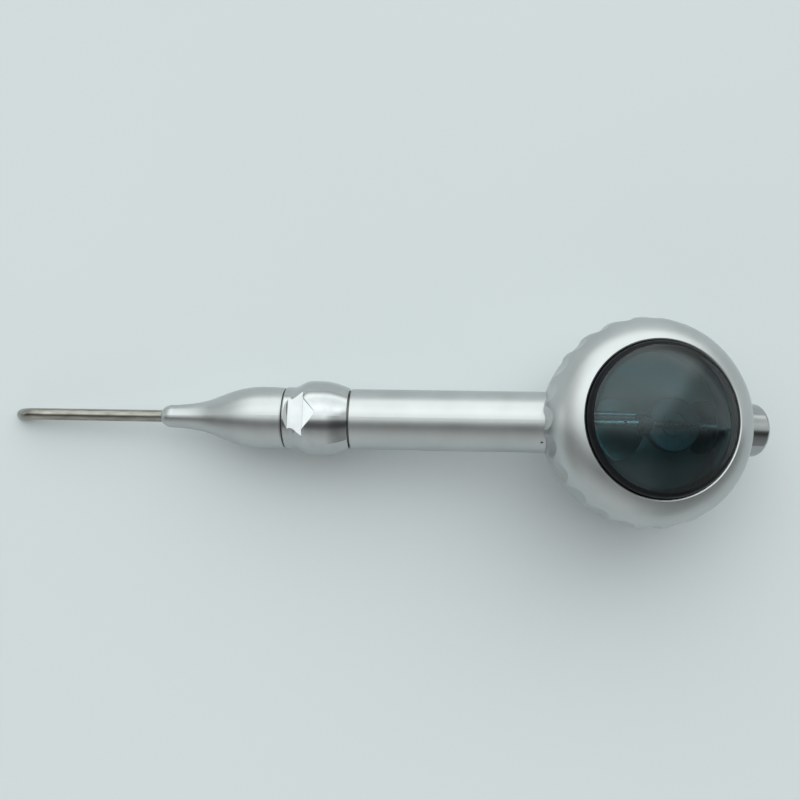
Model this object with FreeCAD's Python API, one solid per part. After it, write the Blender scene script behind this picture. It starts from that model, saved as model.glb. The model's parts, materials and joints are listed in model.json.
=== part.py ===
import FreeCAD, Part
import math
import os

# Powder-jet dental polishing handpiece: a bent-tip nozzle on a straight handle, a round powder jar
# with a screwed window ring, and a quick-connector socket for the dental hose.
#
# Millimetres and degrees. The jar's centre is the zero of three working frames:
#   jar frame     +Z out of the window along the jar's axis, +X to the rear
#   handle frame  +Z forward along the handle, +X on the window's side
#   rear frame    +Z back along the connector, +X away from the window
# main() turns all three into the resting pose and puts the origin under the middle of the whole.

# ---- attitude at rest, on the nozzle tip and the jar's foot
jar_lean = 5.0             # the jar's axis leans back from vertical
arm_slope = 12.25          # handle and connector slope down from the jar's equator

# ---- nozzle
nozzle_radius = 1.5
nozzle_bore = 1.15
nozzle_start = 104.0
tip_bend_start = 152.25
tip_bend_radius = 6.5
tip_bend_angle = 54.0
tip_straight = 0.375
jet_radius = 0.75
jet_bore = 0.45
jet_start = 75.0
jet_recess = 0.3

# ---- nozzle head and its swivel
cone_rear = 87.4
cone_radius = 7.75
cone_bore = 4.5
cone_nose = 119.2
stem_radius = 2.55
stem_rear = 62.9
stem_seat_end = 96.5
plug_bore = 2.6
plug_nose_radius = 4.55
plug_rear = 64.5
plug_step = 72.0
plug_radius = 5.2
plug_flange_radius = 6.2
plug_flange_start = 84.3
plug_flange_end = 86.2
plug_oring_section = 0.6
plug_oring_places = (66.4, 69.2)
stem_oring_section = 0.4
stem_oring_places = (74.0, 79.0)
thrust_washer_end = 87.3
stem_clip_start = 63.5
stem_clip_end = 64.1
stem_clip_inner = 2.0
stem_clip_outer = 3.3

# ---- lock ring and front socket
ring_rear = 71.1
ring_front = 87.13
ring_bore = 6.5
ring_waist = 7.8
notch_count = 3
notch_turn = 4.0           # the first notch's place, from the window's side towards +Y
notch_crease = (7.35, 81.9)
notch_front = (6.87, 85.7)
notch_front_slope = 41.5
notch_rear_slope = 33.7
notch_tip = 78.7           # where the pocket's two rear walls meet
notch_floor_width = 3.5    # half the pocket's width at the crease, on its floor
notch_mouth_width = 4.5    # and at its mouth
notch_floor_height = 5.9   # heights above the handle's axis where those two widths are drawn
notch_mouth_height = 10.4
notch_reach = 12.0         # how far the cutter goes beyond the ring's outside
socket_radius = 6.45
socket_rear = 56.0
socket_front = 84.0
socket_nose_bore = 4.6
socket_nose_end = 62.5
collet_inner = 5.25
collet_outer = 5.75
collet_rear = 72.0
collet_front = 83.6
collet_slots = 3
collet_slot_width = 0.8
ring_clip_start = 76.5
ring_clip_end = 77.4
ring_clip_inner = 6.0
ring_clip_outer = 7.0

# ---- handle
handle_radius = 7.5
handle_inner = 5.9
handle_front = 70.82
powder_offset = 2.6
powder_radius = 0.95
powder_bore = 0.6
water_drop = 2.6           # the water pipe's place in the handle, below its axis
water_side = 2.6           # and towards +Y
water_radius = 0.8
water_bore = 0.5
bulkhead_radius = 6.8
bulkhead_start = 17.9
bulkhead_seat = 19.5
bulkhead_end = 31.0
grub_place = 23.95
grub_turn = -45.0
grub_radius = 0.3

# ---- jar
case_radius = 24.1
case_cavity_radius = 21.9
case_floor = -20.3
case_shoulder = 2.3
foot_radius = 9.4
foot_height = -22.88
neck_radius = 21.4
neck_spigot = 20.6
neck_spigot_start = 0.5
neck_bore = 19.2
neck_top = 6.5
neck_undercut = -1.5
cavity_widest = -4.0
thread_crest = 21.87
thread_lead = 1.5
thread_turns = 2
gasket_inner = 19.9
gasket_outer = 20.9
gasket_depth = 0.8
gasket_stand = 0.2
window_flange = 21.6
window_bottom = 6.8
window_flange_top = 9.0
window_riser = 18.15
window_wall = 1.8
window_riser_top = 15.0
window_cap_start = (17.0, 16.7)
window_cap_radius = 29.0
washer_inner = 18.4
washer_outer = 21.7
washer_bottom = 9.05
washer_top = 9.85
cap_underside = 9.9
cap_opening = 18.4
cap_rim_radius = 18.75
cap_rim_drop = 0.12
cap_round = 10.5           # radius of the ring's rounded section
cap_radius = 25.2
cap_widest = 5.2
cap_bottom = 2.6
cap_bottom_radius = 25.05
cap_bore = 21.95
flute_count = 24
flute_floor = 24.4
flute_radius = 6.4

# ---- powder pick-up inside the jar
collar_radius = 2.2
collar_ends = (-1.7, 1.3)
collar_height = 2.45
pickup_hole = 0.45
pickup_hole_place = 4.0
post_x = 8.1
post_radius = 1.6
mixing_cap_radius = 6.7
mixing_cap_top = 0.7
mixing_cap_bottom = -3.0
jet_tube_radius = 1.0
jet_tube_bore = 0.6

# ---- rear connector
connector_radius = 6.7
connector_end = 33.25
connector_round = 1.2
connector_start = 17.0
connector_bore = 4.5
connector_bore_depth = 9.75
connector_oring_section = 0.5
connector_oring_places = (25.2, 28.4)
jet_tube_end = 19.0
duckbill_flange = 1.7
duckbill_body = 1.3
water_port_x = 1.8
water_seal_radius = 1.25
water_seal_height = 0.8

clearance = 0.05           # beside a clip, seal or washer
edge = 0.3                 # small turned bevels

X = FreeCAD.Vector(1, 0, 0)
Y = FreeCAD.Vector(0, 1, 0)
Z = FreeCAD.Vector(0, 0, 1)
CENTRE = FreeCAD.Vector(0, 0, 0)


# ---------------------------------------------------------------- shape helpers
def at(x, z, y=0.0):
    return FreeCAD.Vector(x, y, z)


def lathe(start, *steps):
    """Turn an (r, z) outline about Z. A step with one point is a straight line, a step with two is an
    arc through the first to the second, and a longer step is a smooth curve through all of them."""
    edges = []
    here = at(*start)
    for step in steps + ([start],):
        points = [here] + [at(*point) for point in step]
        if len(points) == 2:
            curve = Part.LineSegment(*points)
        elif len(points) == 3:
            curve = Part.Arc(*points)
        else:
            curve = Part.BSplineCurve()
            curve.interpolate(points)
        edges.append(curve.toShape())
        here = points[-1]
    return Part.Face(Part.Wire(edges)).revolve(CENTRE, Z, 360)


def rod(radius, start, end, x=0.0, y=0.0):
    return Part.makeCylinder(radius, end - start, at(x, start, y))


def sleeve(inner, outer, start, end, x=0.0, y=0.0):
    return rod(outer, start, end, x, y).cut(rod(inner, start, end, x, y))


def o_rings(inner, section, places):
    return Part.makeCompound([Part.makeTorus(inner + section, section, at(0, z)) for z in places])


def groove_for(inner, outer, section, places):
    """The rings of metal taken away for O-rings of one section."""
    width = section + clearance
    return Part.makeCompound([sleeve(inner, outer, z - width, z + width) for z in places])


def turned_to(shape, angle):
    """A copy turned about the jar's cross axis."""
    copy = shape.copy()
    copy.rotate(CENTRE, Y, angle)
    return copy


def bent_path(points, bend_radius):
    """A wire of straight runs in the XZ plane joined by tangent arcs."""
    edges = []
    here = points[0]
    for before, corner, after in zip(points, points[1:], points[2:]):
        inward = (before - corner).normalize()
        outward = (after - corner).normalize()
        half_turn = (math.pi - inward.getAngle(outward)) / 2
        reach = bend_radius * math.tan(half_turn)
        bisector = (inward + outward).normalize()
        arc_start = corner + inward * reach
        arc_end = corner + outward * reach
        arc_middle = corner + bisector * (bend_radius / math.cos(half_turn) - bend_radius)
        edges.append(Part.LineSegment(here, arc_start).toShape())
        edges.append(Part.Arc(arc_start, arc_middle, arc_end).toShape())
        here = arc_end
    edges.append(Part.LineSegment(here, points[-1]).toShape())
    return Part.Wire(edges)


def swept_rod(path, radius):
    first = path.OrderedEdges[0]
    start = first.valueAt(first.FirstParameter)
    direction = first.tangentAt(first.FirstParameter)
    section = Part.Wire(Part.makeCircle(radius, start, direction))
    return path.makePipeShell([section], True, False)


def bent_tube(points, bend_radius, outer, inner):
    path = bent_path(points, bend_radius)
    return swept_rod(path, outer).cut(swept_rod(path, inner))


# ---------------------------------------------------------------- nozzle, in the handle frame
def tip_points(start, end_recess):
    """Corner points of the nozzle's bent line, which turns away from the window at its tip."""
    turn = math.radians(tip_bend_angle)
    reach = tip_bend_radius * math.tan(turn / 2)
    corner = at(0, tip_bend_start + reach)
    last = reach + tip_straight - end_recess
    end = corner + at(-math.sin(turn), math.cos(turn)) * last
    return [at(0, start), corner, end]


def nozzle_tube():
    return bent_tube(tip_points(nozzle_start, 0), tip_bend_radius, nozzle_radius, nozzle_bore)


def powder_jet_tube():
    return bent_tube(tip_points(jet_start, jet_recess), tip_bend_radius, jet_radius, jet_bore)


def nozzle_cone():
    return lathe((cone_bore, cone_rear),
                 [(cone_radius - edge, cone_rear)],
                 [(cone_radius - edge / 2, cone_rear + edge)],
                 [(cone_radius, 90.0)],
                 [(cone_radius, 92.5)],
                 [(7.45, 96.9), (6.05, 102.1), (4.1, 107.3), (3.2, 112.0), (2.87, 116.0)],
                 [(2.48, 118.1), (1.65, cone_nose)],
                 [(nozzle_radius, cone_nose)],
                 [(nozzle_radius, nozzle_start)],
                 [(cone_bore, stem_seat_end + edge)])


def nozzle_stem():
    body = rod(stem_radius, stem_rear, cone_rear).fuse(rod(cone_bore, cone_rear, stem_seat_end))
    groove_floor = plug_bore - clearance - 2 * stem_oring_section
    body = body.cut(groove_for(groove_floor, stem_radius, stem_oring_section, stem_oring_places))
    clip_groove = sleeve(stem_clip_inner, stem_radius, stem_clip_start - clearance,
                         stem_clip_end + clearance)
    return body.cut(clip_groove).cut(rod(jet_radius, stem_rear, stem_seat_end))


def stem_orings():
    inner = plug_bore - clearance - 2 * stem_oring_section
    return o_rings(inner, stem_oring_section, stem_oring_places)


def stem_clip():
    """An open snap ring that keeps the stem in its plug."""
    ring = sleeve(stem_clip_inner, stem_clip_outer, stem_clip_start, stem_clip_end)
    mouth = Part.makeBox(stem_clip_outer, stem_clip_inner, 2,
                         at(0, stem_clip_start - 0.5, -stem_clip_inner / 2))
    return ring.cut(mouth)


def swivel_plug():
    plug = lathe((plug_bore, plug_rear),
                 [(plug_nose_radius - edge, plug_rear)],
                 [(plug_nose_radius, plug_rear + edge)],
                 [(plug_nose_radius, plug_step + edge)],
                 [(plug_radius, plug_step + 2 * edge)],
                 [(plug_radius, plug_flange_start)],
                 [(plug_flange_radius, plug_flange_start)],
                 [(plug_flange_radius, plug_flange_end)],
                 [(plug_bore, plug_flange_end)])
    groove_floor = plug_nose_radius - 2 * plug_oring_section
    return plug.cut(groove_for(groove_floor, plug_nose_radius, plug_oring_section, plug_oring_places))


def plug_orings():
    return o_rings(plug_nose_radius - 2 * plug_oring_section, plug_oring_section, plug_oring_places)


def thrust_washer():
    return sleeve(plug_bore + clearance, plug_flange_radius - edge, plug_flange_end, thrust_washer_end)


# ---------------------------------------------------------------- lock ring and front joint
def notch_plan(height, half_width, tip):
    """The pocket's outline at one height: an arrow that points to the rear and widens at the crease."""
    crease = notch_crease[1]
    points = [(0, tip), (half_width, crease), (notch_reach, crease), (notch_reach, ring_front + notch_reach)]
    mirrored = [(-y, z) for y, z in reversed(points[1:])]
    outline = points + mirrored + points[:1]
    return Part.makePolygon([at(height, z, y) for y, z in outline])


def grip_notch():
    """A pocket with a flat on the ring's waist and a slanting floor on its shoulder, which meet in a
    crease. The slanting floor runs out to a point between two sloping walls."""
    crease = at(*notch_crease)
    front = at(*notch_front)
    front_end = front + at(math.sin(math.radians(notch_front_slope)),
                           math.cos(math.radians(notch_front_slope))) * notch_reach
    rear_end = crease + at(math.sin(math.radians(notch_rear_slope)),
                           -math.cos(math.radians(notch_rear_slope))) * notch_reach
    top = crease + X * notch_reach
    outline = Part.makePolygon([crease, front, front_end, top, rear_end, crease])
    wedge = Part.Face(outline).extrude(Y * 2 * notch_reach)
    wedge.translate(Y * -notch_reach)
    widening = (notch_mouth_width - notch_floor_width) / 2
    floor_plan = notch_plan(notch_floor_height, notch_floor_width, notch_tip + widening)
    mouth_plan = notch_plan(notch_mouth_height, notch_mouth_width, notch_tip - widening)
    walls = Part.makeLoft([floor_plan, mouth_plan], True, True)
    return wedge.common(walls)


def lock_ring():
    ring = lathe((ring_bore, ring_rear),
                 [(7.6, ring_rear)],
                 [(7.85, 71.65), (8.74, 74.1), (9.28, 76.4), (9.42, 79.0), (9.25, 81.7), (8.55, 83.2),
                  (7.95, 84.4), (ring_waist, 85.6)],
                 [(ring_waist, ring_front - edge)],
                 [(ring_waist - edge, ring_front)],
                 [(ring_bore, ring_front)])
    for index in range(notch_count):
        notch = grip_notch()
        notch.rotate(CENTRE, Z, notch_turn + index * 360 / notch_count)
        ring = ring.cut(notch)
    return ring.cut(sleeve(ring_bore, ring_clip_outer + clearance,
                           ring_clip_start - clearance, ring_clip_end + clearance))


def ring_clip():
    ring = sleeve(ring_clip_inner, ring_clip_outer, ring_clip_start, ring_clip_end)
    return ring.cut(Part.makeBox(8, 2, 3, at(0, ring_clip_start - 1, -1)))


def collet():
    """A split sleeve that the lock ring closes on the plug."""
    body = sleeve(collet_inner, collet_outer, collet_rear, collet_front)
    slot = Part.makeBox(collet_outer + 1, collet_slot_width, collet_front - collet_rear,
                        at(0, collet_rear + 3, -collet_slot_width / 2))
    for index in range(collet_slots):
        cutter = slot.copy()
        cutter.rotate(CENTRE, Z, index * 360 / collet_slots)
        body = body.cut(cutter)
    return body


def front_socket():
    body = lathe((0, socket_rear),
                 [(handle_inner, socket_rear)],
                 [(handle_inner, handle_front)],
                 [(socket_radius, handle_front)],
                 [(socket_radius, socket_front)],
                 [(collet_outer, socket_front)],
                 [(collet_outer, collet_rear)],
                 [(socket_nose_bore, collet_rear - edge)],
                 [(socket_nose_bore, socket_nose_end)],
                 [(0, socket_nose_end)])
    clip_groove = sleeve(ring_clip_inner, socket_radius, ring_clip_start - clearance,
                         ring_clip_end + clearance)
    powder_port = rod(powder_radius, socket_rear, socket_nose_end)
    water_port = rod(water_radius, socket_rear, socket_nose_end, -water_drop, water_side)
    return body.cut(clip_groove).cut(powder_port).cut(water_port)


# ---------------------------------------------------------------- handle, in the handle frame
def grub_hole(radius, bottom, top):
    hole = Part.makeCylinder(radius, top - bottom, at(bottom, grub_place), X)
    hole.rotate(CENTRE, Z, grub_turn)
    return hole


def handle_tube():
    tube = lathe((handle_inner, 0),
                 [(handle_radius, 0)],
                 [(handle_radius, handle_front - edge)],
                 [(handle_radius - edge, handle_front)],
                 [(handle_inner, handle_front)])
    tube = tube.cut(Part.makeSphere(case_radius))
    return tube.cut(grub_hole(grub_radius, handle_inner - 1, handle_radius + 1))


def grub_screw():
    return grub_hole(grub_radius, handle_inner - 1, handle_radius - edge)


def front_bulkhead():
    """The flanged spigot that joins the handle to the jar and carries both pipes through."""
    body = rod(bulkhead_radius, bulkhead_start, bulkhead_seat)
    body = body.fuse(rod(handle_inner, bulkhead_seat, bulkhead_end))
    body = body.cut(rod(powder_radius, bulkhead_start, bulkhead_end, powder_offset))
    body = body.cut(rod(water_radius, bulkhead_start, bulkhead_end, -water_drop, water_side))
    return body.cut(grub_hole(grub_radius, handle_inner - 1, handle_radius))


def powder_pipe():
    """From the collar in the jar, through the bulkhead, and over to the socket's middle port."""
    points = [at(powder_offset, 0.3), at(powder_offset, 38), at(0, 49), at(0, socket_nose_end)]
    pipe = bent_tube(points, 15, powder_radius, powder_bore)
    hole = Part.makeCylinder(pickup_hole, powder_radius + 1, at(powder_offset, pickup_hole_place), X)
    return pipe.cut(hole)


# ---------------------------------------------------------------- jar, in the jar frame
def on_sphere(radius, height):
    """The (r, z) point of a sphere about the jar's centre at one height."""
    return (math.sqrt(radius ** 2 - height ** 2), height)


def case_cavity():
    middle = on_sphere(case_cavity_radius, (cavity_widest + case_floor) / 2)
    return lathe((0, case_floor),
                 [on_sphere(case_cavity_radius, case_floor)],
                 [middle, on_sphere(case_cavity_radius, cavity_widest)],
                 [(neck_bore, neck_undercut)],
                 [(neck_bore, neck_top)],
                 [(0, neck_top)])


def neck_thread():
    """A rounded ridge wound up the neck."""
    height = thread_lead * thread_turns
    helix = Part.makeHelix(thread_lead, height, neck_radius)
    buried = neck_radius - 0.3
    section = Part.makePolygon([at(buried, -0.45), at(thread_crest, -0.12), at(thread_crest, 0.12),
                                at(buried, 0.45), at(buried, -0.45)])
    thread = helix.makePipeShell([section], True, True)
    thread.translate(at(0, case_shoulder + 0.75))
    return thread


def arm_holes():
    """What the handle's spigot, its flange and the connector take out of the jar's wall."""
    flange = turned_to(rod(bulkhead_radius + clearance, 10, bulkhead_seat), -90 - arm_slope)
    spigot = turned_to(rod(handle_inner, bulkhead_seat, 30), -90 - arm_slope)
    connector = turned_to(rod(connector_radius, 15, 30), 90 + arm_slope)
    return Part.makeCompound([flange, spigot, connector])


def powder_case():
    foot_edge = foot_radius - edge
    outer_foot = (foot_radius, -math.sqrt(case_radius ** 2 - foot_radius ** 2))
    body = lathe((0, foot_height),
                 [(foot_edge, foot_height)],
                 [(foot_radius, foot_height + edge)],
                 [outer_foot],
                 [on_sphere(case_radius, -10), on_sphere(case_radius, case_shoulder)],
                 [(0, case_shoulder)])
    mouth = rod(neck_spigot, neck_spigot_start, case_shoulder)
    return body.cut(case_cavity()).cut(mouth).cut(arm_holes())


def case_neck():
    """The threaded ring pressed into the case's mouth."""
    neck = lathe((neck_bore, neck_spigot_start),
                 [(neck_spigot, neck_spigot_start)],
                 [(neck_spigot, case_shoulder)],
                 [(neck_radius, case_shoulder)],
                 [(neck_radius, neck_top - edge)],
                 [(neck_radius - edge, neck_top)],
                 [(neck_bore, neck_top)])
    gasket_groove = sleeve(gasket_inner, gasket_outer, neck_top - gasket_depth, neck_top)
    return neck.fuse(neck_thread()).cut(gasket_groove).cut(arm_holes())


def case_gasket():
    return sleeve(gasket_inner, gasket_outer, neck_top - gasket_depth, neck_top + gasket_stand)


def dome_cap(radius, rim):
    """Middle point and apex of a spherical cap that starts at the (r, z) point rim."""
    centre_height = rim[1] - math.sqrt(radius ** 2 - rim[0] ** 2)
    half = rim[0] / 2
    return [(half, centre_height + math.sqrt(radius ** 2 - half ** 2)), (0, centre_height + radius)]


def window_dome():
    rim = window_cap_start
    inner_rim = (rim[0] - window_wall * 0.7, rim[1] - window_wall * 0.8)
    inner_radius = window_cap_radius - window_wall
    inner_riser = window_riser - window_wall
    cap_over, apex = dome_cap(window_cap_radius, rim)
    cap_under, inner_apex = dome_cap(inner_radius, inner_rim)
    return lathe((inner_riser, window_bottom),
                 [(window_flange, window_bottom)],
                 [(window_flange, window_flange_top)],
                 [(window_riser, window_flange_top)],
                 [(window_riser, window_riser_top)],
                 [(window_riser - 0.3, window_riser_top + 1.1), rim],
                 [cap_over, apex],
                 [inner_apex],
                 [cap_under, inner_rim],
                 [(inner_riser - 0.1, inner_rim[1] - 0.6), (inner_riser, inner_rim[1] - 1.3)])


def slip_washer():
    return sleeve(washer_inner, washer_outer, washer_bottom, washer_top)


def flutes():
    """Upright round grooves about the ring, one of them over the handle."""
    cutters = []
    for index in range(flute_count):
        cutter = rod(flute_radius, cap_bottom - 1, cap_widest + cap_round, flute_floor + flute_radius)
        cutter.rotate(CENTRE, Z, index * 360 / flute_count)
        cutters.append(cutter)
    return Part.makeCompound(cutters)


def cap_ring():
    section_centre = cap_radius - cap_round
    rim_height = cap_widest + math.sqrt(cap_round ** 2 - (cap_rim_radius - section_centre) ** 2)
    slant = cap_round * math.sqrt(0.5)
    ring = lathe((cap_opening, cap_underside),
                 [(cap_opening, rim_height - cap_rim_drop)],
                 [(cap_rim_radius, rim_height)],
                 [(section_centre + slant, cap_widest + slant), (cap_radius, cap_widest)],
                 [(cap_bottom_radius, cap_bottom + edge)],
                 [(cap_bottom_radius - edge, cap_bottom)],
                 [(cap_bore, cap_bottom)],
                 [(cap_bore, cap_underside)])
    return ring.cut(flutes())


# ---------------------------------------------------------------- powder pick-up, in the jar frame
def jet_line(radius):
    """The straight line of the air jet tube, as a solid rod."""
    return turned_to(rod(radius, 0.3, jet_tube_end, -powder_offset), 90 + arm_slope)


def powder_line(radius):
    return turned_to(rod(radius, 0.3, bulkhead_start, powder_offset), -90 - arm_slope)


def collar_nut():
    start, end = collar_ends
    collar = Part.makeCylinder(collar_radius, end - start, at(start, collar_height), X)
    return collar.cut(jet_line(jet_tube_radius)).cut(powder_line(powder_radius))


def mixing_post():
    post = rod(post_radius, case_floor - 1, mixing_cap_bottom, post_x)
    return post.common(case_cavity())


def mixing_cap():
    cap = lathe((0, mixing_cap_bottom),
                [(mixing_cap_radius - 2, mixing_cap_bottom)],
                [(mixing_cap_radius, mixing_cap_bottom + 1.5)],
                [(mixing_cap_radius, mixing_cap_top - edge)],
                [(mixing_cap_radius - edge, mixing_cap_top)],
                [(3.2, mixing_cap_top)],
                [(3.2, mixing_cap_top - 0.5)],
                [(2.8, mixing_cap_top - 0.5)],
                [(2.8, mixing_cap_top)],
                [(0, mixing_cap_top)])
    cap.translate(at(post_x, 0))
    return cap.cut(jet_line(jet_tube_radius))


def air_jet_tube():
    return jet_line(jet_tube_radius).cut(jet_line(jet_tube_bore))


def water_pipe():
    """Straight across the jar beside the post, then along the handle to the socket."""
    rear = turned_to(Part.Vertex(at(water_port_x, jet_tube_end)), 90 + arm_slope).Point
    rear_inner = turned_to(Part.Vertex(at(water_port_x, connector_start - 2)), 90 + arm_slope).Point
    front_inner = turned_to(Part.Vertex(at(-water_drop, bulkhead_start - 2)), -90 - arm_slope).Point
    front = turned_to(Part.Vertex(at(-water_drop, socket_nose_end)), -90 - arm_slope).Point
    pipe = bent_tube([rear, rear_inner, front_inner, front], 8, water_radius, water_bore)
    pipe.translate(Y * water_side)
    return pipe


# ---------------------------------------------------------------- rear connector, in the rear frame
def bore_floor():
    return connector_end - connector_bore_depth


def duckbill_valve():
    """Rubber one-way valve in the air port; its lips close against backflow."""
    floor = bore_floor()
    valve = lathe((0.35, floor),
                  [(duckbill_flange, floor)],
                  [(duckbill_flange, floor - 0.8)],
                  [(duckbill_body, floor - 0.8)],
                  [(0.6, jet_tube_end + edge)],
                  [(0.35, jet_tube_end + edge)])
    valve.translate(at(-powder_offset, 0))
    return valve


def valve_pocket():
    floor = bore_floor()
    pocket = rod(duckbill_flange, floor - 0.8, floor, -powder_offset)
    return pocket.fuse(rod(duckbill_body, jet_tube_end, floor, -powder_offset))


def water_seal():
    floor = bore_floor()
    return sleeve(water_bore, water_seal_radius, floor - water_seal_height, floor, water_port_x, water_side)


def water_passage():
    floor = bore_floor()
    passage = rod(water_radius, connector_start, jet_tube_end, water_port_x, water_side)
    passage = passage.fuse(rod(water_bore, jet_tube_end, floor, water_port_x, water_side))
    seal_seat = rod(water_seal_radius, floor - water_seal_height, floor, water_port_x, water_side)
    return passage.fuse(seal_seat)


def connector_body():
    floor = bore_floor()
    slant = connector_round * (1 - math.sqrt(0.5))
    end_middle = (connector_radius - slant, connector_end - slant)
    body = lathe((0, connector_start),
                 [(connector_radius, connector_start)],
                 [(connector_radius, connector_end - connector_round)],
                 [end_middle, (connector_radius - connector_round, connector_end)],
                 [(connector_bore, connector_end)],
                 [(connector_bore, floor)],
                 [(0, floor)])
    groove_floor = connector_bore + 2 * (connector_oring_section + clearance)
    body = body.cut(groove_for(connector_bore, groove_floor, connector_oring_section,
                               connector_oring_places))
    air_passage = rod(jet_tube_radius, connector_start, jet_tube_end, -powder_offset)
    return body.cut(air_passage).cut(valve_pocket()).cut(water_passage())


def connector_orings():
    return o_rings(connector_bore + clearance, connector_oring_section, connector_oring_places)


# ---------------------------------------------------------------- assembly
HANDLE_PIECES = [nozzle_tube, powder_jet_tube, nozzle_cone, nozzle_stem, stem_orings, stem_clip,
                 swivel_plug, plug_orings, thrust_washer, lock_ring, ring_clip, collet, front_socket,
                 handle_tube, grub_screw, front_bulkhead, powder_pipe]
JAR_PIECES = [powder_case, case_neck, case_gasket, window_dome, slip_washer, cap_ring, collar_nut,
              mixing_post, mixing_cap, air_jet_tube, water_pipe]
REAR_PIECES = [connector_body, connector_orings, duckbill_valve, water_seal]


def main():
    os.makedirs("parts", exist_ok=True)
    groups = [(HANDLE_PIECES, jar_lean - 90 - arm_slope),
              (JAR_PIECES, jar_lean),
              (REAR_PIECES, jar_lean + 90 + arm_slope)]
    shapes = {}
    for makers, angle in groups:
        for maker in makers:
            shapes[maker.__name__] = turned_to(maker(), angle)
    box = Part.makeCompound(list(shapes.values())).optimalBoundingBox(False)
    origin = FreeCAD.Vector(box.Center.x, 0, box.ZMin)
    print("jar centre", [round(value, 4) for value in -origin])
    print("size", round(box.XLength, 2), round(box.YLength, 2), round(box.ZLength, 2))
    for name, shape in shapes.items():
        shape.translate(-origin)
        shape.exportStep("parts/" + name + ".step")
        print(name, len(shape.Solids), round(shape.Volume, 2), shape.isValid())


main()
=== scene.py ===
import json
import math

import bpy
from mathutils import Euler, Matrix, Vector


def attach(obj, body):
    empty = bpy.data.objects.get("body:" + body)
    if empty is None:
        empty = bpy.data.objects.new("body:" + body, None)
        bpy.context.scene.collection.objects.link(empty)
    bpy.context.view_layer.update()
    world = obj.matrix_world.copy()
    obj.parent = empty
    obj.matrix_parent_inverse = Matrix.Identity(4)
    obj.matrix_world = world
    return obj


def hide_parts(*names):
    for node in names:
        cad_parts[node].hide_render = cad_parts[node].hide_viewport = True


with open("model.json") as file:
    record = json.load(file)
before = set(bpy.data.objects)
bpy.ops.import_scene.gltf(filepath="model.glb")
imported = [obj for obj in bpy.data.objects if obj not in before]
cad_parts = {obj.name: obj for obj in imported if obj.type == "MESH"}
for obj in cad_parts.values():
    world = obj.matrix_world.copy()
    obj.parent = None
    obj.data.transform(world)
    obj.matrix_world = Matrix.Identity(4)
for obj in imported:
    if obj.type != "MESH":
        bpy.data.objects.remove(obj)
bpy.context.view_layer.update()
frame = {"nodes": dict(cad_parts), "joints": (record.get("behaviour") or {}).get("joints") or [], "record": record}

MM = 0.001
GRAIN_DEPTH = 0.00003  # of a bump, in metres
LINE_DEPTH = 0.00001
AT_EDGE, OFF_EDGE = 0.86, 0.995  # how well a rounded normal agrees with the real one
RUBBED_GAIN = 1.25  # how much brighter rubbed edges are
MIX_FROM, MIX_TO, MIX_RESULT = 6, 7, 2  # the Mix node's colour sockets, whose names aren't unique
SHADER_FROM, SHADER_TO = 1, 2  # the Mix Shader node's sockets
JOINTS = {joint["name"]: joint for joint in frame["joints"]}
JAR_CENTRE = Vector(JOINTS["cap_turn"]["pos_m"])


# ---------------------------------------------------------------- node helpers
def new_material(name):
    material = bpy.data.materials.new(name)
    material.use_nodes = True
    tree = material.node_tree
    shader = tree.nodes["Principled BSDF"]
    return material, tree, shader


def put(tree, kind, **inputs):
    """A node with its input sockets set by name, where underscores stand for spaces."""
    node = tree.nodes.new(kind)
    for key, value in inputs.items():
        node.inputs[key.replace("_", " ")].default_value = value
    return node


def surface_point(tree, stretch=(1, 1, 1)):
    """The point on the piece, with its axes stretched, in metres."""
    source = tree.nodes.new("ShaderNodeTexCoord")
    mapping = put(tree, "ShaderNodeMapping", Scale=stretch)
    tree.links.new(source.outputs["Object"], mapping.inputs["Vector"])
    return mapping.outputs["Vector"]


def noise(tree, point, scale, detail=3.0, roughness=0.55):
    node = put(tree, "ShaderNodeTexNoise", Scale=scale, Detail=detail, Roughness=roughness)
    tree.links.new(point, node.inputs["Vector"])
    return node.outputs["Fac"]


def spread(tree, value, low, high, start=0.3, end=0.7, smooth=False):
    """The value between start and end, spread over low to high."""
    node = put(tree, "ShaderNodeMapRange", From_Min=start, From_Max=end, To_Min=low, To_Max=high)
    if smooth:
        node.interpolation_type = "SMOOTHSTEP"
    tree.links.new(value, node.inputs["Value"])
    return node.outputs["Result"]


def tinted(tree, value, dark, light, start=0.3, end=0.7):
    """A colour between dark and light that follows the value."""
    ramp = tree.nodes.new("ShaderNodeValToRGB")
    ramp.color_ramp.elements[0].position = start
    ramp.color_ramp.elements[0].color = (*dark, 1)
    ramp.color_ramp.elements[1].position = end
    ramp.color_ramp.elements[1].color = (*light, 1)
    tree.links.new(value, ramp.inputs["Fac"])
    return ramp.outputs["Color"]


def math_node(tree, operation, first, second):
    node = tree.nodes.new("ShaderNodeMath")
    node.operation = operation
    for socket, value in zip(node.inputs, (first, second)):
        if isinstance(value, (int, float)):
            socket.default_value = value
        else:
            tree.links.new(value, socket)
    return node.outputs["Value"]


def rounded_edges(tree, radius):
    """The normal as if edges were rounded to that radius, and how near an edge the point is, from 0
    to 1."""
    bevel = tree.nodes.new("ShaderNodeBevel")
    bevel.samples = 6
    bevel.inputs["Radius"].default_value = radius
    geometry = tree.nodes.new("ShaderNodeNewGeometry")
    across = tree.nodes.new("ShaderNodeVectorMath")
    across.operation = "DOT_PRODUCT"
    tree.links.new(bevel.outputs["Normal"], across.inputs[0])
    tree.links.new(geometry.outputs["Normal"], across.inputs[1])
    nearness = spread(tree, across.outputs["Value"], low=1.0, high=0.0, start=AT_EDGE, end=OFF_EDGE)
    return bevel.outputs["Normal"], nearness


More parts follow.
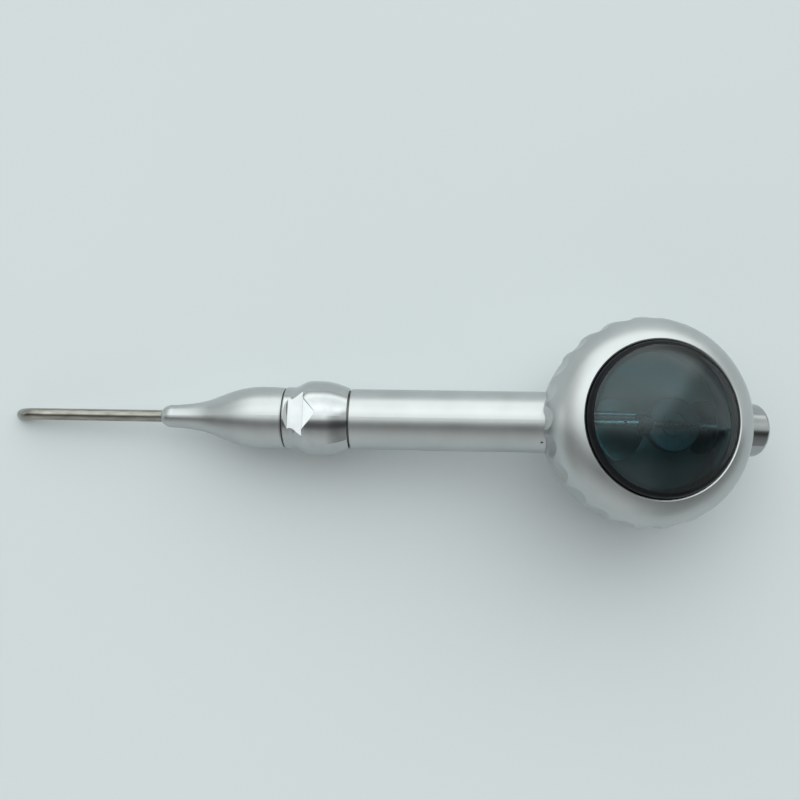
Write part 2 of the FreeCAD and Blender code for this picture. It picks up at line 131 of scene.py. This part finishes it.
def worn(tree, colour, nearness, worn_colour):
    """The colour, rubbed to another one along edges."""
    mix = tree.nodes.new("ShaderNodeMix")
    mix.data_type = "RGBA"
    tree.links.new(nearness, mix.inputs["Factor"])
    tree.links.new(colour, mix.inputs[MIX_FROM])
    mix.inputs[MIX_TO].default_value = (*worn_colour, 1)
    return mix.outputs[MIX_RESULT]


def bumped(tree, shader, height, strength, depth, normal=None):
    bump = put(tree, "ShaderNodeBump", Strength=strength, Distance=depth)
    tree.links.new(height, bump.inputs["Height"])
    if normal is not None:
        tree.links.new(normal, bump.inputs["Normal"])
    tree.links.new(bump.outputs["Normal"], shader.inputs["Normal"])


# ---------------------------------------------------------------- materials
def satin_metal(name, dark, light, rough=(0.36, 0.46)):
    """Bead-blasted metal: a fine even grain, with faint clouding where it has been handled."""
    material, tree, shader = new_material(name)
    point = surface_point(tree)
    shader.inputs["Metallic"].default_value = 1.0
    cloud = noise(tree, point, scale=90, detail=4)
    normal, edge = rounded_edges(tree, radius=0.12 * MM)
    rubbed = [RUBBED_GAIN * part for part in light]
    colour = worn(tree, tinted(tree, cloud, dark, light), edge, rubbed)
    tree.links.new(colour, shader.inputs["Base Color"])
    tree.links.new(spread(tree, cloud, *rough), shader.inputs["Roughness"])
    grain = noise(tree, point, scale=2600, detail=2)
    bumped(tree, shader, grain, strength=0.16, depth=GRAIN_DEPTH, normal=normal)
    return material


def bright_metal(name, dark, light, rough=(0.035, 0.09)):
    """Plated or polished metal with faint smears and hairline scratches."""
    material, tree, shader = new_material(name)
    shader.inputs["Metallic"].default_value = 1.0
    point = surface_point(tree)
    smear = noise(tree, point, scale=160, detail=4)
    tree.links.new(tinted(tree, smear, dark, light), shader.inputs["Base Color"])
    tree.links.new(spread(tree, smear, *rough), shader.inputs["Roughness"])
    scratch = noise(tree, surface_point(tree, stretch=(1, 1, 9)), scale=900, detail=2)
    normal, _ = rounded_edges(tree, radius=0.16 * MM)
    bumped(tree, shader, scratch, strength=0.05, depth=LINE_DEPTH, normal=normal)
    return material


def drawn_metal(name, dark, light, rough=(0.2, 0.34)):
    """Drawn tube: fine lines along its length and slight discolouring."""
    material, tree, shader = new_material(name)
    shader.inputs["Metallic"].default_value = 1.0
    stain = noise(tree, surface_point(tree, stretch=(0.12, 1, 1)), scale=900, detail=4)
    tree.links.new(tinted(tree, stain, dark, light), shader.inputs["Base Color"])
    line = noise(tree, surface_point(tree, stretch=(0.03, 1, 1)), scale=5200, detail=3)
    tree.links.new(spread(tree, line, *rough), shader.inputs["Roughness"])
    bumped(tree, shader, line, strength=0.2, depth=LINE_DEPTH)
    return material


def turned_metal(name, dark, light, rough=(0.22, 0.36)):
    """Turned metal: fine tool marks, drawn out sideways."""
    material, tree, shader = new_material(name)
    shader.inputs["Metallic"].default_value = 1.0
    line = noise(tree, surface_point(tree, stretch=(1, 0.25, 1)), scale=2400, detail=3)
    tree.links.new(tinted(tree, line, dark, light), shader.inputs["Base Color"])
    tree.links.new(spread(tree, line, *rough), shader.inputs["Roughness"])
    bumped(tree, shader, line, strength=0.2, depth=LINE_DEPTH)
    return material


def moulded(name, dark, light, rough=(0.45, 0.62)):
    """Moulded rubber or plastic: a soft grain and slight dust."""
    material, tree, shader = new_material(name)
    point = surface_point(tree)
    dust = noise(tree, point, scale=240, detail=4)
    tree.links.new(tinted(tree, dust, dark, light), shader.inputs["Base Color"])
    tree.links.new(spread(tree, dust, *rough), shader.inputs["Roughness"])
    grain = noise(tree, point, scale=1500, detail=2)
    bumped(tree, shader, grain, strength=0.3, depth=GRAIN_DEPTH)
    return material


def painted_shade_black(name, dark, light):
    """Black behind clear plastic as painted shade, standing in for the dark look of the window's edge: dull, with
    slightly uneven cover.
    """
    material = moulded(name, dark, light, rough=(0.2, 0.3))
    material.node_tree.nodes["Principled BSDF"].inputs["Specular IOR Level"].default_value = 0.1
    return material


def smoked_plastic(name, tint, inward):
    """Clear smoked plastic with faint wipe marks. Light for what lies inside passes straight through."""
    material, tree, shader = new_material(name)
    shader.inputs["Base Color"].default_value = (*tint, 1)
    shader.inputs["Transmission Weight"].default_value = 1.0
    shader.inputs["IOR"].default_value = 1.49
    wipe = noise(tree, surface_point(tree, stretch=(1, 2.5, 1)), scale=70, detail=4)
    rough = spread(tree, wipe, low=0.005, high=0.035, start=0.45, end=0.8)
    tree.links.new(rough, shader.inputs["Roughness"])
    light_path = tree.nodes.new("ShaderNodeLightPath")
    clear = put(tree, "ShaderNodeBsdfTransparent", Color=(*inward, 1))
    either = tree.nodes.new("ShaderNodeMixShader")
    tree.links.new(light_path.outputs["Is Shadow Ray"], either.inputs["Fac"])
    tree.links.new(shader.outputs["BSDF"], either.inputs[SHADER_FROM])
    tree.links.new(clear.outputs["BSDF"], either.inputs[SHADER_TO])
    output = tree.nodes["Material Output"]
    tree.links.new(either.outputs["Shader"], output.inputs["Surface"])
    return material


SATIN = satin_metal("satin_silver", (0.475, 0.49, 0.49), (0.545, 0.56, 0.56), (0.31, 0.37))
CHROME = bright_metal("chrome", (0.44, 0.45, 0.455), (0.54, 0.55, 0.555))
POLISHED = bright_metal("polished_steel", (0.36, 0.37, 0.375), (0.44, 0.45, 0.455), (0.08, 0.14))
NOZZLE_STEEL = drawn_metal("nozzle_steel", (0.20, 0.19, 0.165), (0.40, 0.385, 0.35), (0.16, 0.26))
TUBE_STEEL = drawn_metal("tube_steel", (0.55, 0.56, 0.56), (0.70, 0.71, 0.72))
TURNED_STEEL = turned_metal("turned_steel", (0.50, 0.51, 0.52), (0.62, 0.63, 0.64))
NICKEL = turned_metal("nickel_plate", (0.15, 0.145, 0.13), (0.24, 0.23, 0.205))
DARK_STEEL = turned_metal("dark_steel", (0.05, 0.055, 0.06), (0.09, 0.095, 0.1))
# painted shade: the mixing cap's steel is made darker than bare steel for the shadow it sits in inside the jar
DULL_STEEL_PAINTED_SHADE = turned_metal("dull_steel_painted_shade", (0.14, 0.15, 0.16), (0.22, 0.23, 0.24), (0.35, 0.5))
RUBBER = moulded("black_rubber", (0.008, 0.008, 0.009), (0.02, 0.02, 0.022))
SILICONE = moulded("silicone", (0.5, 0.5, 0.47), (0.62, 0.62, 0.58))
WHITE = moulded("white_plastic", (0.62, 0.62, 0.6), (0.72, 0.72, 0.7))
SMOKED = smoked_plastic("smoked_window", (0.235, 0.42, 0.455), (0.68, 0.82, 0.85))
# painted shade: black on the window's skirt and shoulder, where the edge only looks dark
SKIRT_PAINTED_SHADE = painted_shade_black("skirt_painted_shade", (0.006, 0.007, 0.009), (0.012, 0.013, 0.015))

COOL = (0.94, 1.0, 0.99)
SLIGHT = (0.98, 1.0, 1.0)
ROOM_PEAK = 2.0
ROOM_STOPS = [  # tilt from straight up towards the back, in degrees, with the radiance and its tint
    (-120, 0.55, COOL), (-90, 0.72, COOL), (-72, 0.68, COOL), (-56, 0.56, COOL), (-44, 0.42, SLIGHT),
    (-35, 0.20, SLIGHT), (-24, 0.12, SLIGHT), (-13, 0.30, SLIGHT), (-7, 0.95, COOL), (1, 1.5, COOL),
    (16, 1.7, COOL), (27, 2.0, COOL), (36, 1.85, COOL), (48, 1.6, COOL), (60, 1.65, COOL),
    (69, 2.0, COOL), (75, 1.6, COOL), (82, 0.8, COOL), (92, 0.62, COOL), (130, 0.50, COOL),
]

CONNECTOR_BACK_SHARE = 0.8  # how far the back counts as turned away from the connector's end
NOZZLE_BACK_SHARE = 0.3  # the part of that which counts as turned towards the nozzle's end
CAMERA_FROM_JAR = Vector((-66.0, -20.9, 240.1)) * MM
CAMERA_DEGREES = (5.92, -1.92, 1.41)

SLOT_MATERIALS = {
    "satin_handle": SATIN, "satin_case": SATIN, "satin_cap": SATIN, "satin_cone": SATIN,
    "chrome_ring": CHROME, "bright_connector": POLISHED, "nozzle_steel": NOZZLE_STEEL,
    "tube_steel": TUBE_STEEL, "turned_steel": TURNED_STEEL, "spring_steel": TURNED_STEEL,
    "plated_brass": NICKEL, "dark_collar": DARK_STEEL, "mixing_cap": DULL_STEEL_PAINTED_SHADE,
    "black_screw": DARK_STEEL, "black_rubber": RUBBER, "silicone": SILICONE,
    "white_plastic": WHITE, "smoked_window": SMOKED,
}


def paint_cad_nodes():
    for part in frame["record"]["subparts"]:
        node = frame["nodes"][part["node"]]
        for slot in node.material_slots:
            slot.material = SLOT_MATERIALS[part["material_slot"]]


# ---------------------------------------------------------------- pieces
SHARP_ANGLE = math.radians(35)


def axes(origin, along):
    """A placing with Z along a joint's axis and X towards the connector's side."""
    z = Vector(along).normalized()
    y = Vector((0, 1, 0))
    x = y.cross(z).normalized()
    return Matrix.Translation(origin) @ Matrix((x, y, z)).transposed().to_4x4()


def lathe(name, outline, placing, materials, slot_of, segments=192):
    """A turned piece. The outline is a closed loop of (r, z) points in mm; a point with r = 0 is a pole.
    slot_of gives the material slot of the band that starts at a point, by the point's index."""
    points, faces, slots = [], [], []
    rings = []
    for r, z in outline:
        if r == 0:
            rings.append([len(points)] * segments)
            points.append((0, 0, z * MM))
        else:
            rings.append(list(range(len(points), len(points) + segments)))
            for step in range(segments):
                turn = 2 * math.pi * step / segments
                points.append((r * MM * math.cos(turn), r * MM * math.sin(turn), z * MM))
    for index, ring in enumerate(rings):
        after = rings[(index + 1) % len(rings)]
        if outline[index][0] == 0 and outline[(index + 1) % len(rings)][0] == 0:
            continue
        for step in range(segments):
            following = (step + 1) % segments
            corners = [ring[step], ring[following], after[following], after[step]]
            faces.append(list(dict.fromkeys(corners)))
            slots.append(slot_of(index))
    mesh = bpy.data.meshes.new(name)
    mesh.from_pydata(points, [], faces)
    mesh.transform(placing)
    for material in materials:
        mesh.materials.append(material)
    mesh.polygons.foreach_set("material_index", slots)
    mesh.shade_smooth()
    mesh.set_sharp_from_angle(angle=SHARP_ANGLE)
    piece = bpy.data.objects.new(name, mesh)
    bpy.context.scene.collection.objects.link(piece)
    return piece


def on_cap(radii, cap_radius, rim):
    """Points at those radii on a spherical cap that passes through the rim, all in mm."""
    centre = rim[1] - math.sqrt(cap_radius ** 2 - rim[0] ** 2)
    return [(r, centre + math.sqrt(cap_radius ** 2 - r ** 2)) for r in radii]


def add_window():
    """The domed window in clear smoked plastic, with its skirt and shoulder coloured black as painted shade for
    the window's dark edge. Its points are (radius, height above the jar's centre)."""
    wall, cap_radius, rim = 1.8, 29.0, (17.0, 16.7)
    flange_radius, flange_bottom, flange_top = 21.6, 6.8, 9.0
    riser, riser_top = 18.15, 15.0
    rounding = [(0.07, 15.5), (0.22, 15.92), (0.5, 16.28), (0.82, 16.52)]  # inset from the riser, height
    steps = 24
    inner = riser - wall
    inner_rim = (rim[0] - 0.7 * wall, rim[1] - 0.8 * wall)
    skirt = [(inner, flange_bottom), (flange_radius, flange_bottom), (flange_radius, flange_top),
             (riser, flange_top), (riser, riser_top)]
    shoulder = [(riser - inset, height) for inset, height in rounding]
    outer = on_cap([rim[0] * (1 - step / steps) for step in range(steps + 1)], cap_radius, rim)
    under = on_cap([inner_rim[0] * step / steps for step in range(steps + 1)], cap_radius - wall, inner_rim)
    shoulder_inside = [(inner - 0.06, inner_rim[1] - 0.5), (inner, inner_rim[1] - 1.3)]
    outline = skirt + shoulder + outer + under + shoulder_inside
    # painted shade: the bands of the skirt and shoulder are coloured black
    painted = len(skirt + shoulder)
    piece = lathe("window_glass", outline, axes(JAR_CENTRE, JOINTS["cap_turn"]["axis"]),
                  materials=(SMOKED, SKIRT_PAINTED_SHADE), slot_of=lambda index: int(index < painted))
    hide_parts("window_dome")
    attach(piece, "window")


# ---------------------------------------------------------------- setting
def floor_material():
    material, tree, shader = new_material("pale_table")
    shade = noise(tree, surface_point(tree), scale=2.2, detail=2)
    tree.links.new(tinted(tree, shade, (0.70, 0.738, 0.75), (0.74, 0.78, 0.79)),
                   shader.inputs["Base Color"])
    tree.links.new(spread(tree, shade, low=0.5, high=0.6), shader.inputs["Roughness"])
    return material


def add_floor():
    bpy.ops.mesh.primitive_plane_add(size=6)
    floor = bpy.context.object
    floor.name = "table"
    floor.data.materials.append(floor_material())


def room_colour(tree, tilt):
    """Radiance of the room by tilt about the long axis, in turns: middling in front, a dark band just
    in front of straight up, where a person would lean over, then wide and bright behind."""
    ramp = tree.nodes.new("ShaderNodeValToRGB")
    ramp.color_ramp.interpolation = "B_SPLINE"
    stops = ramp.color_ramp.elements
    for index, (degrees, level, tint) in enumerate(ROOM_STOPS):
        place = 0.5 + degrees / 360
        stop = stops[index] if index < 2 else stops.new(place)
        stop.position = place
        stop.color = (*[level * part / ROOM_PEAK for part in tint], 1)
    tree.links.new(tilt, ramp.inputs["Fac"])
    return ramp.outputs["Color"]


def add_room():
    """A soft surrounding that is dimmer above the connector's end, and less so low down at the back. It dims
    again past the nozzle, down to a bright strip near the horizon."""
    world = bpy.data.worlds.new("room")
    world.use_nodes = True
    tree = world.node_tree
    source = tree.nodes.new("ShaderNodeTexCoord")
    parts = tree.nodes.new("ShaderNodeSeparateXYZ")
    tree.links.new(source.outputs["Generated"], parts.inputs["Vector"])
    x, y, z = (parts.outputs[axis] for axis in "XYZ")
    turns = math_node(tree, "DIVIDE", math_node(tree, "ARCTAN2", y, z), 2 * math.pi)
    tilt = math_node(tree, "ADD", turns, 0.5)
    back = math_node(tree, "MULTIPLY", math_node(tree, "MAXIMUM", y, 0.0), CONNECTOR_BACK_SHARE)
    connector_side = math_node(tree, "SUBTRACT", x, back)
    shade = spread(tree, connector_side, low=ROOM_PEAK, high=0.5 * ROOM_PEAK, start=0.02, end=0.38,
                   smooth=True)
    nozzle_side = math_node(tree, "SUBTRACT", x, math_node(tree, "MULTIPLY", back, NOZZLE_BACK_SHARE))
    far = spread(tree, nozzle_side, low=0.4, high=1.0, start=-0.95, end=-0.60, smooth=True)
    horizon = spread(tree, x, low=0.65, high=0.0, start=-0.980, end=-0.962)
    strength = math_node(tree, "MULTIPLY", shade, math_node(tree, "ADD", far, horizon))
    background = tree.nodes["Background"]
    tree.links.new(room_colour(tree, tilt), background.inputs["Color"])
    tree.links.new(strength, background.inputs["Strength"])
    bpy.context.scene.world = world


def add_camera():
    data = bpy.data.cameras.new("camera")
    data.lens = 45
    data.sensor_width = 36
    camera = bpy.data.objects.new("camera", data)
    camera.location = JAR_CENTRE + CAMERA_FROM_JAR
    camera.rotation_euler = Euler([math.radians(angle) for angle in CAMERA_DEGREES])
    bpy.context.scene.collection.objects.link(camera)
    bpy.context.scene.camera = camera


paint_cad_nodes()
add_window()
add_floor()
add_room()
add_camera()
bpy.context.scene.view_settings.view_transform = "Standard"
